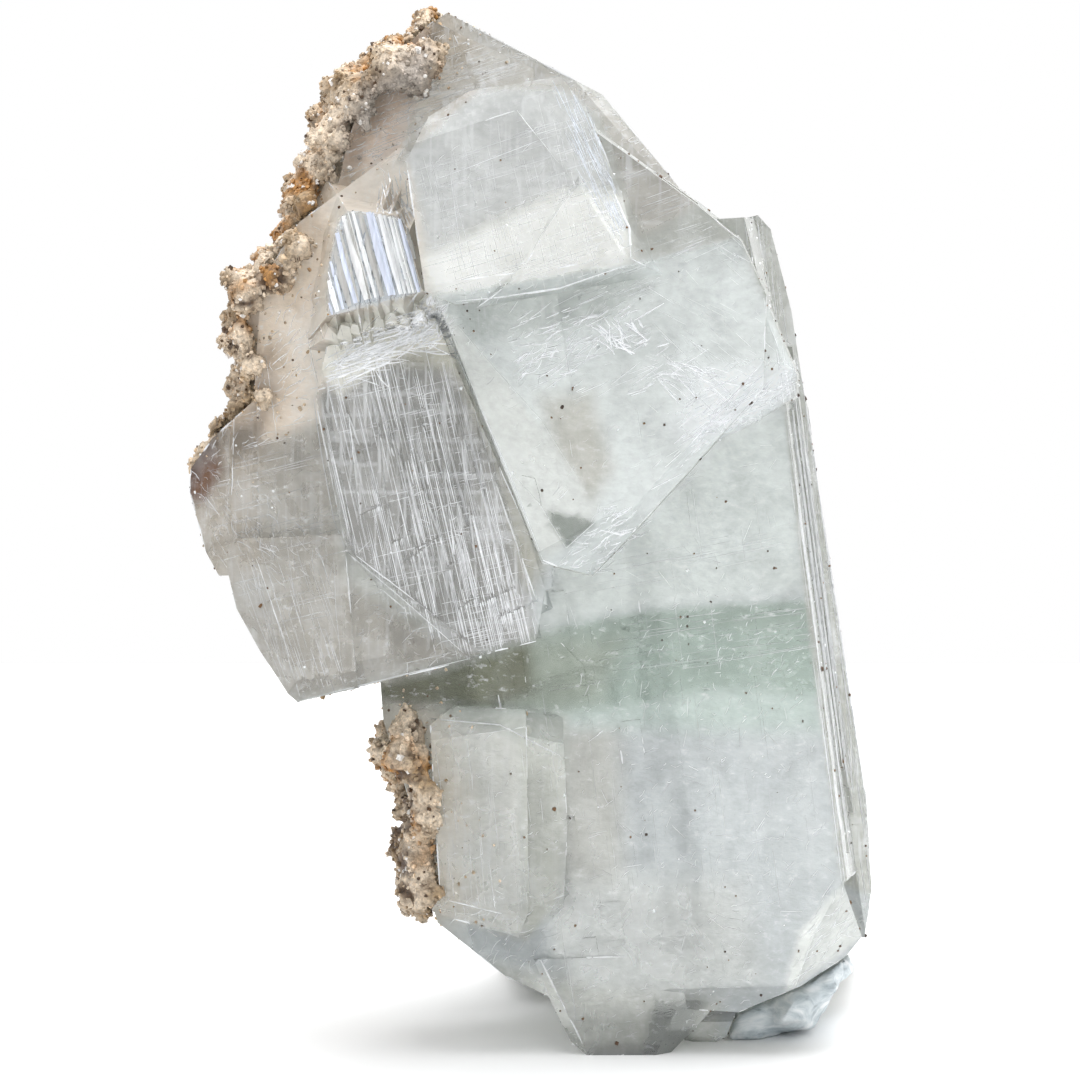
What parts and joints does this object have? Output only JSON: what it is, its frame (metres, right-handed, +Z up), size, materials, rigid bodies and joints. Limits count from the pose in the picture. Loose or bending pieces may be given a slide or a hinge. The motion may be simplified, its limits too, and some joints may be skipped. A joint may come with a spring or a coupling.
{
  "type": "apophyllite cluster",
  "caption": "Upright hand specimen of intergrown clear and pale green apophyllite crystals with a brown druse crust on one flank.",
  "frame": {"origin": "centre of the bounding box, on the surface that the specimen stands on", "axes": "+Z up, -Y towards the viewer of the pictured side, +X to that viewer's right"},
  "size_m": [0.0586, 0.0558, 0.0897],
  "materials": {
    "apophyllite": "clear to milky crystal, pale green bands, fine growth lines",
    "druse": "sugary brown and white crust of tiny crystals",
    "matrix": "blue-grey and white marbled, dull"
  },
  "bodies": {
    "root": {"apophyllite_crystals": "apophyllite", "druse_crust": "druse", "druse_crust_low": "druse", "matrix_foot": "matrix"}
  },
  "joints": []
}
